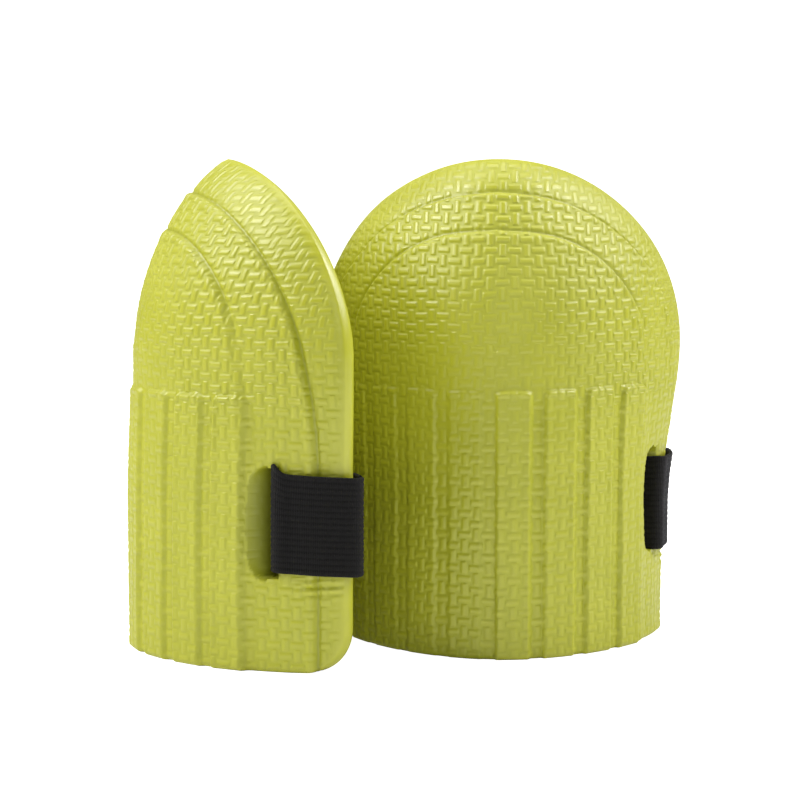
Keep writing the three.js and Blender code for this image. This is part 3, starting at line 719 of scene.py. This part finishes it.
def spline(route, step=0.25):
    """A centripetal Catmull-Rom curve through a route, as evenly spaced points."""
    p = np.array(route, float)
    p = np.vstack([2 * p[0] - p[1], p, 2 * p[-1] - p[-2]])
    dense = []
    for i in range(1, len(p) - 2):
        p0, p1, p2, p3 = p[i - 1 : i + 3]
        d1, d2, d3 = (max(np.linalg.norm(b - a), 1e-9) ** 0.5 for a, b in ((p0, p1), (p1, p2), (p2, p3)))
        t = np.linspace(0, 1, 40, endpoint=False)[:, None]
        m1 = (p1 - p0) / d1 - (p2 - p0) / (d1 + d2) + (p2 - p1) / d2
        m2 = (p2 - p1) / d2 - (p3 - p1) / (d2 + d3) + (p3 - p2) / d3
        m1, m2 = m1 * d2, m2 * d2
        square, cube = -3 * p1 + 3 * p2 - 2 * m1 - m2, 2 * p1 - 2 * p2 + m1 + m2
        dense.append(p1 + m1 * t + square * t**2 + cube * t**3)
    dense = np.vstack([*dense, p[-2][None]])
    length = np.concatenate([[0], np.cumsum(np.linalg.norm(np.diff(dense, axis=0), axis=1))])
    count = max(2, int(round(length[-1] / step)))
    at = np.linspace(0, length[-1], count + 1)
    return np.stack([np.interp(at, length, dense[:, k]) for k in (0, 1)], -1), length[-1]


def webbing(name, route_at, along_step, hang):
    """A ribbon of ribbed webbing on edge; both faces have real ribs along its length and rolled edges."""
    low, high = STRAP_LOW_Z, STRAP_TOP_Z
    levels = np.linspace(low, high, 5)
    curves = []
    count = None
    for z in levels:
        points, length = spline(route_at(z))
        if count is None:
            count = int(round(length / along_step)) + 1
        k = np.linspace(0, len(points) - 1, count)
        curves.append(np.stack([np.interp(k, np.arange(len(points)), points[:, j]) for j in (0, 1)], -1))
    curves = np.array(curves)
    ribs, points_per_rib = int(round(STRAP_WIDTH / STRAP_RIB)), 6
    zs = np.linspace(low, high, ribs * points_per_rib + 1)
    where = (zs - low) / (high - low) * (len(levels) - 1)
    k0 = np.clip(where.astype(int), 0, len(levels) - 2)
    f = (where - k0)[:, None, None]
    middle = curves[k0] * (1 - f) + curves[k0 + 1] * f
    tangent = np.gradient(middle, axis=1)
    tangent /= np.linalg.norm(tangent, axis=2)[:, :, None]
    normal = np.stack([tangent[:, :, 1], -tangent[:, :, 0]], -1)
    rib = np.abs(np.sin(math.pi * (zs - low) / (high - low) * ribs)) ** 0.7
    to_edge = np.minimum(zs - low, high - zs)
    half = STRAP_THICKNESS / 2 - STRAP_RIB_DEPTH * (1 - rib)
    half = half * np.sqrt(np.clip(1 - (1 - np.clip(to_edge / STRAP_EDGE, 0, 1)) ** 2, 0.02, 1))
    s = np.linspace(0, 1, count)[None, :] * count * along_step
    z_grid = hang(np.repeat(zs[:, None], count, 1), s)
    b = Builder()
    ids = []
    for sign in (1, -1):
        points = np.concatenate([middle + sign * normal * half[:, None, None], z_grid[:, :, None]], -1)
        values = np.zeros((*z_grid.shape, 4))
        values[:, :, 0] = s
        values[:, :, 1] = zs[:, None] - low
        ids.append(b.add(points, values.reshape(-1, 4)))
    rows, cols = z_grid.shape
    b.quads(grid_quads(ids[0], rows, cols))
    b.quads(grid_quads(ids[1], rows, cols, flip=True))
    b.quads(border_quads(*ids, rows, cols))
    return b.mesh(name, ["along", "across", "spare_a", "spare_b"])


# ---- tapes and stitches --------------------------------------------------------------------------
TAPES = {
    "hook": dict(base=0.45, toward=-1, pitch=1.35, jitter=0.1, wide=0.13,
                 path=[(0, -0.1), (0, 0.55), (0.25, 0.95), (0.7, 0.9), (0.85, 0.6)]),
    "loop": dict(base=0.5, toward=1, pitch=1.5, jitter=0.5, wide=0.07,
                 path=[(-0.5, -0.1), (-0.5, 0.6), (0, 1.0), (0.5, 0.6), (0.5, -0.1)]),
}


def tape(name, kind, start_x, length, away, seed):
    """A patch of hook or loop tape behind the span: a thin base with real hooks or loops on one face."""
    rng = np.random.default_rng(seed)
    look = TAPES[kind]
    base, toward, jitter, wide, path = (look[key] for key in ("base", "toward", "jitter", "wide", "path"))
    hooked = kind == "hook"
    b = Builder()
    low, high = STRAP_LOW_Z + PATCH_MARGIN, STRAP_TOP_Z - PATCH_MARGIN
    nx, nz = int(length) + 1, int(high - low) + 1
    back_away = away - toward * (PATCH_THICKNESS / 2 - base / 2)
    xs, zs = np.linspace(start_x, start_x - length, nx), np.linspace(low, high, nz)

    def on(x, z, up):
        px, py = span_point(x, back_away + toward * up)
        return [px, py, z]

    faces = []
    for up in (-base / 2, base / 2):
        points = [[on(x, z, up) for x in xs] for z in zs]
        values = [[[x, z, 0, 0] for x in xs] for z in zs]
        faces.append(b.add(points, np.array(values).reshape(-1, 4)))
    b.quads(grid_quads(faces[0], nz, nx))
    b.quads(grid_quads(faces[1], nz, nx, flip=True))
    b.quads(border_quads(*faces, nz, nx))
    tall = PATCH_THICKNESS - base - 0.02
    pitch = look["pitch"]
    spots = [(x, z) for x in np.arange(start_x - 1.6, start_x - length + 1.4, -pitch)
             for z in np.arange(low + 1.4, high - 1.2, pitch)]
    for x, z in spots:
        x += rng.uniform(-jitter, jitter)
        z += rng.uniform(-jitter, jitter)
        heading = (0 if rng.random() < 0.5 else math.pi) if hooked else rng.uniform(0, math.pi)
        reach = 0.42 if hooked else rng.uniform(0.5, 0.9)
        rings = []
        for t, h in path:
            up = base / 2 + tall * h * (1 if hooked else rng.uniform(0.7, 1.0))
            px, pz = x + math.cos(heading) * reach * t, z + math.sin(heading) * reach * t
            ring = []
            for k in range(4):
                turn = math.pi / 4 + k * math.pi / 2
                tilt = (0.05 if k < 2 else -0.05) if h > 0 else 0
                ring.append(on(px + wide * math.cos(turn), pz + wide * math.sin(turn), up + tilt))
            rings.append(ring)
        b.tube(b.add(rings, [x, z, 1, 0]), len(path), 4)
    return b.mesh(name, ["along", "across", "tuft", "spare"], digits=5)


def stitch_line(start, end, pitch):
    start, end = np.array(start, float), np.array(end, float)
    n = max(1, int(round(np.linalg.norm(end - start) / pitch)))
    return [(mix(start, end, (k + 0.08) / n), mix(start, end, (k + 0.92) / n)) for k in range(n)]


def stitches(name, middle_x, away, length, crossed=False):
    """Sewing thread: rounded stitches that dip into the webbing, along a frame and its diagonals."""
    b = Builder()
    rings, sides = 9, 8
    l, h = length / 2 - 0.45, SEWN_HEIGHT / 2 - 0.45
    lines = [((-l, -h), (l, -h)), ((l, -h), (l, h)), ((l, h), (-l, h)), ((-l, h), (-l, -h))]
    if crossed:
        lines += [((-l + 1, -h + 1), (l - 1, h - 1)), ((-l + 1, h - 1), (l - 1, -h + 1))]
    outward = 1 if away > 0 else -1
    for line in lines:
        for p, q in stitch_line(*line, STITCH_PITCH):
            d = (q - p) / np.linalg.norm(q - p)
            n = np.array([-d[1], d[0]])
            points = []
            for t in np.linspace(0, 1, rings):
                lift = math.sin(math.pi * t) ** 0.5
                centre = mix(p, q, t)
                radius = THREAD_RADIUS * (0.55 + 0.45 * lift)
                for k in range(sides):
                    turn = 2 * math.pi * k / sides
                    flat = centre + n * radius * math.cos(turn) * 1.15
                    up = -0.38 + 0.42 * lift + radius * math.sin(turn)
                    px, py = span_point(middle_x + flat[0], away + outward * up)
                    points.append([px, py, STRAP_MIDDLE_Z + flat[1]])
            b.tube(b.add(points, [0, 0, 0, 0]), rings, sides)
    return b.mesh(name, ["along", "across", "tuft", "spare"], digits=5)


# ---- materials -----------------------------------------------------------------------------------
class Nodes:
    """Short helpers for building a node tree."""

    def __init__(self, name):
        self.material = bpy.data.materials.new(name)
        self.material.use_nodes = True
        self.tree = self.material.node_tree
        self.tree.nodes.clear()
        self.output = self.tree.nodes.new("ShaderNodeOutputMaterial")
        self.shader = self.tree.nodes.new("ShaderNodeBsdfPrincipled")
        self.link(self.shader.outputs[0], self.output.inputs["Surface"])

    def link(self, a, b):
        self.tree.links.new(a, b)

    def feed(self, socket, value):
        if isinstance(value, bpy.types.NodeSocket):
            self.link(value, socket)
        else:
            socket.default_value = (*value, 1) if isinstance(value, tuple) else value

    def math(self, operation, a, b=None, c=None):
        n = self.tree.nodes.new("ShaderNodeMath")
        n.operation = operation
        for k, value in enumerate((a, b, c)):
            if value is not None:
                self.feed(n.inputs[k], value)
        return n.outputs[0]

    def attribute(self, name):
        n = self.tree.nodes.new("ShaderNodeAttribute")
        n.attribute_name = name
        return n.outputs["Fac"]

    def noise(self, scale, detail=3.0, rough=0.55):
        n = self.tree.nodes.new("ShaderNodeTexNoise")
        n.inputs["Scale"].default_value = scale
        n.inputs["Detail"].default_value = detail
        n.inputs["Roughness"].default_value = rough
        self.link(self.position(), n.inputs["Vector"])
        return n.outputs["Fac"]

    def position(self):
        if not hasattr(self, "_position"):
            self._position = self.tree.nodes.new("ShaderNodeTexCoord").outputs["Object"]
        return self._position

    def ramp(self, value, low, high, to_low=0.0, to_high=1.0):
        n = self.tree.nodes.new("ShaderNodeMapRange")
        n.interpolation_type = "SMOOTHSTEP"
        self.feed(n.inputs["Value"], value)
        for key, v in (("From Min", low), ("From Max", high), ("To Min", to_low), ("To Max", to_high)):
            self.feed(n.inputs[key], v)
        return n.outputs["Result"]

    def colour_mix(self, fac, a, b):
        n = self.tree.nodes.new("ShaderNodeMix")
        n.data_type = "RGBA"
        self.feed(n.inputs["Factor"], fac)
        sockets = [s for s in n.inputs if s.type == "RGBA"]
        for socket, value in zip(sockets, (a, b)):
            self.feed(socket, value)
        return [s for s in n.outputs if s.type == "RGBA"][0]

    def bump(self, height, distance, strength=1.0, normal=None):
        n = self.tree.nodes.new("ShaderNodeBump")
        n.inputs["Distance"].default_value = distance
        n.inputs["Strength"].default_value = strength
        self.feed(n.inputs["Height"], height)
        if normal is not None:
            self.link(normal, n.inputs["Normal"])
        return n.outputs["Normal"]

    def put(self, key, value):
        self.feed(self.shader.inputs[key], value)


def weave_height(n, u, v):
    """The same bars as weave_relief, as nodes, so that their edges stay crisp between the mesh's points."""

    def flip(distance, when):
        return n.math("ADD", distance, n.math("MULTIPLY", when, n.math("MULTIPLY_ADD", distance, -2.0, 1.0)))

    def bar_nodes(across, along):
        end = BAR_REACH + BAR_END_OUT
        return n.math("MULTIPLY", n.ramp(across, BAR_HALF, BAR_HALF - BAR_FLANK),
                      n.ramp(along, end, end - BAR_END_RUN))

    cell_u, cell_v = n.math("DIVIDE", u, CELL_U), n.math("DIVIDE", v, CELL_V)
    column, level_row = n.math("FLOOR", cell_u), n.math("FLOOR", cell_v)
    odd = n.math("FLOORED_MODULO", n.math("ADD", column, level_row), 2.0)
    even = n.math("SUBTRACT", 1.0, odd)
    a = n.math("ABSOLUTE", n.math("SUBTRACT", n.math("SUBTRACT", cell_u, column), 0.5))
    b = n.math("ABSOLUTE", n.math("SUBTRACT", n.math("SUBTRACT", cell_v, level_row), 0.5))
    return n.math("MAXIMUM", bar_nodes(b, flip(a, odd)), bar_nodes(a, flip(b, even)))


def foam_material():
    """Lime foam: mottled and more matt between the bars, with painted shade between the bars, in the creases
    and, darkest, in the scoop.
    """
    n = Nodes("foam_lime")
    u, v = n.attribute("sheet_u"), n.attribute("sheet_v")
    strength = n.attribute("emboss")
    weave = n.math("MULTIPLY", weave_height(n, u, v), strength)
    patchy = n.ramp(n.noise(28.0, 2.0), 0.35, 0.65, 0.75, 1.0)
    weave = n.math("MULTIPLY", weave, patchy)
    grain = n.noise(2600.0, 3.0, 0.6)
    mottling = n.noise(45.0, 4.0, 0.6)
    crease = n.attribute("crease")
    base = n.colour_mix(n.ramp(mottling, 0.3, 0.7), FOAM_DARK, FOAM_LIGHT)
    between = n.math("MULTIPLY", n.math("SUBTRACT", 1.0, weave), strength)
    # painted shade: between the bars, in the creases, and darkest in the scoop
    base = n.colour_mix(n.math("MULTIPLY", between, 0.27), base, FOAM_HOLLOW_SHADE)
    base = n.colour_mix(n.math("MULTIPLY", n.math("MINIMUM", crease, 1.0), 0.35), base, FOAM_HOLLOW_SHADE)
    base = n.colour_mix(n.ramp(crease, 0.5, 2.0, 0.0, 0.75), base, FOAM_SHADE)
    n.put("Base Color", base)
    n.put("Roughness", n.math("MULTIPLY_ADD", between, 0.22, n.ramp(mottling, 0.3, 0.7, 0.32, 0.38)))
    n.put("Specular IOR Level", 0.95)
    n.put("IOR", 1.49)
    fine = n.bump(grain, 0.00004, 0.5)
    n.put("Normal", n.bump(weave, WEAVE_BUMP, 1.0, fine))
    return n.material


def webbing_material():
    """Black ribbed webbing: painted shade in the grooves, faint yarns across and along, a little lint."""
    n = Nodes("webbing_black")
    along, across = n.attribute("along"), n.attribute("across")

    def wave(distance, pitch):
        return n.math("SINE", n.math("MULTIPLY", distance, 2 * math.pi / pitch))

    picks, threads = wave(along, YARN_ALONG), wave(across, YARN_ACROSS)
    rib = n.math("ABSOLUTE", wave(across, 2 * STRAP_RIB))
    yarn = n.math("MULTIPLY", n.math("ADD", picks, 1.0), n.math("MULTIPLY_ADD", threads, 0.35, 1.0))
    fuzz = n.noise(1500.0, 4.0, 0.65)
    # painted shade in the grooves between the ribs
    colour = n.colour_mix(n.ramp(rib, 0.15, 0.95), WEB_GROOVE_SHADE, WEB_RIDGE)
    colour = n.colour_mix(n.ramp(fuzz, 0.42, 0.75, 0.0, 0.5), colour, WEB_LINT)
    n.put("Base Color", colour)
    n.put("Roughness", 0.72)
    n.put("Specular IOR Level", 0.25)
    n.put("Sheen Weight", 0.07)
    n.put("Sheen Roughness", 0.45)
    n.put("Sheen Tint", WEB_SHEEN)
    fine = n.bump(fuzz, 0.00008, 0.6)
    n.put("Normal", n.bump(yarn, 0.00010, 0.7, fine))
    return n.material


def tape_material(name, ground, tip, sheen):
    """Black tape whose hooks or loops are paler than its ground."""
    n = Nodes(name)
    tuft = n.attribute("tuft")
    lint = n.noise(900.0, 4.0, 0.65)
    colour = n.colour_mix(tuft, ground, tip)
    colour = n.colour_mix(n.ramp(lint, 0.45, 0.8, 0.0, 0.4), colour, tip)
    n.put("Base Color", colour)
    n.put("Roughness", 0.6)
    n.put("Sheen Weight", sheen)
    n.put("Normal", n.bump(lint, 0.0002, 0.8))
    return n.material


def thread_material():
    n = Nodes("thread_black")
    twist = n.tree.nodes.new("ShaderNodeTexWave")
    twist.inputs["Scale"].default_value = 900.0
    twist.inputs["Distortion"].default_value = 1.0
    n.link(n.position(), twist.inputs["Vector"])
    n.put("Base Color", n.colour_mix(twist.outputs["Fac"], THREAD_DARK, THREAD_LIGHT))
    n.put("Roughness", 0.42)
    n.put("Normal", n.bump(twist.outputs["Fac"], 0.00006, 0.8))
    return n.material


foam = foam_material()
web = webbing_material()
hook_look = tape_material("hook_black", (0.010, 0.010, 0.011), (0.03, 0.029, 0.032), 0.05)
loop_look = tape_material("loop_black", (0.012, 0.011, 0.013), (0.035, 0.032, 0.038), 0.35)
thread = thread_material()

# ---- the pieces ----------------------------------------------------------------------------------
for side, seed in (("left", 3), ("right", 11)):
    shell = make(foam_shell(side + "_foam", side, seed), side, "_pad", ["foam_shell"], foam, sharp=60)
    hang, tail_hang = strap_hang(side)
    strap = webbing(side + "_webbing", strap_route, 1.1, hang)
    make(strap, side, "_pad", ["strap"], web, sharp=70)
    tail = webbing(side + "_webbing_tail", tail_route, 0.9, tail_hang)
    make(tail, side, "_tail", ["strap_tail"], web, sharp=70)
    hooks = tape(side + "_hook_tape", "hook", HOOK_START_X, HOOK_LENGTH, HOOK_AWAY, seed)
    make(hooks, side, "_tail", ["hook_patch"], hook_look, sharp=40)
    loops = tape(side + "_loop_tape", "loop", LOOP_START_X, LOOP_LENGTH, LOOP_AWAY, seed)
    make(loops, side, "_pad", ["loop_patch"], loop_look, sharp=40)
    for sewn, body, middle_x, away, length in (
            ("anchor", "_pad", -STRAP_STRAIGHT_X + 14, LAP_AWAY + ON_FACE, 18),
            ("hook", "_tail", HOOK_START_X - HOOK_LENGTH / 2, TAIL_AWAY + ON_FACE, HOOK_LENGTH - SEWN_MARGIN),
            ("loop", "_pad", LOOP_START_X - LOOP_LENGTH / 2, -ON_FACE, LOOP_LENGTH - SEWN_MARGIN)):
        seam = stitches(side + "_" + sewn + "_thread", middle_x, away, length, crossed=sewn == "anchor")
        make(seam, side, body, [sewn + "_stitching"], thread)


# ---- floor, light and camera ---------------------------------------------------------------------
def sweep_material():
    """White, and bright only to the camera, so that it adds no light of its own to the object."""
    n = Nodes("sweep_white")
    n.put("Base Color", SWEEP_COLOUR)
    n.put("Roughness", 0.9)
    n.put("Specular IOR Level", 0.0)
    n.put("Emission Color", (1.0, 1.0, 1.0))
    seen = n.tree.nodes.new("ShaderNodeLightPath").outputs["Is Camera Ray"]
    n.put("Emission Strength", n.math("MULTIPLY", seen, FLOOR_GLOW))
    return n.material


def sweep():
    """A pale floor that curves up behind the object."""
    bend = [(1.2 + 0.5 * math.sin(a), 0.5 - 0.5 * math.cos(a)) for a in np.linspace(0, math.pi / 2, 16)]
    profile = [(-1.6, 0.0), *bend, (1.7, 2.6)]
    points = [(x, y, z) for y, z in profile for x in (-3.0, 3.0)]
    faces = [(2 * k, 2 * k + 1, 2 * k + 3, 2 * k + 2) for k in range(len(profile) - 1)]
    mesh = bpy.data.meshes.new("sweep")
    mesh.from_pydata(points, [], faces)
    mesh.polygons.foreach_set("use_smooth", [True] * len(mesh.polygons))
    mesh.materials.append(sweep_material())
    o = bpy.data.objects.new("sweep", mesh)
    bpy.context.scene.collection.objects.link(o)


def softbox(name, place, aim, size, power, colour=(1, 1, 1)):
    data = bpy.data.lights.new(name, "AREA")
    data.shape = "RECTANGLE"
    data.size, data.size_y = size
    data.energy = power
    data.color = colour
    o = bpy.data.objects.new(name, data)
    o.location = place
    o.rotation_euler = (Vector(aim) - Vector(place)).to_track_quat("-Z", "Y").to_euler()
    bpy.context.scene.collection.objects.link(o)


sweep()
softbox("left_box", (-1.05, -0.15, 0.95), (-0.02, 0, 0.09), (0.9, 0.7), 11.8)
softbox("right_box", (1.05, 0.15, 0.85), (0.03, 0, 0.09), (0.9, 0.7), 9.0)
softbox("top_box", (0.0, 0.25, 1.25), (0.0, 0, 0.1), (1.0, 0.6), 5.2)
softbox("front_box", (0.25, -1.5, 0.8), (0, 0, 0.09), (1.0, 0.8), 5.2, FRONT_TINT)
softbox("left_key", (-0.62, 0.02, 0.98), (-0.02, 0, 0.13), (0.3, 0.3), 2.9, KEY_TINT)
softbox("right_key", (0.72, 0.02, 0.92), (0.04, 0, 0.13), (0.25, 0.25), 2.8, KEY_TINT)

world = bpy.data.worlds.new("studio")
world.use_nodes = True
background = world.node_tree.nodes["Background"]
background.inputs["Color"].default_value = (1, 1, 1, 1)
seen = world.node_tree.nodes.new("ShaderNodeLightPath").outputs["Is Camera Ray"]
strength = world.node_tree.nodes.new("ShaderNodeMath")
strength.operation = "MULTIPLY_ADD"
strength.inputs[1].default_value = WORLD_SEEN
strength.inputs[2].default_value = WORLD_LIGHT
world.node_tree.links.new(seen, strength.inputs[0])
world.node_tree.links.new(strength.outputs[0], background.inputs["Strength"])
bpy.context.scene.world = world

camera = bpy.data.objects.new("camera", bpy.data.cameras.new("camera"))
camera.data.lens = CAMERA_LENS
camera.data.sensor_width = 36.0
camera.data.clip_start = 0.02
camera.data.clip_end = 20.0
camera.location = CAMERA_PLACE
camera.rotation_euler = (math.radians(90 - CAMERA_DIP), 0, 0)
bpy.context.scene.collection.objects.link(camera)
bpy.context.scene.camera = camera
bpy.context.scene.view_settings.view_transform = "Standard"
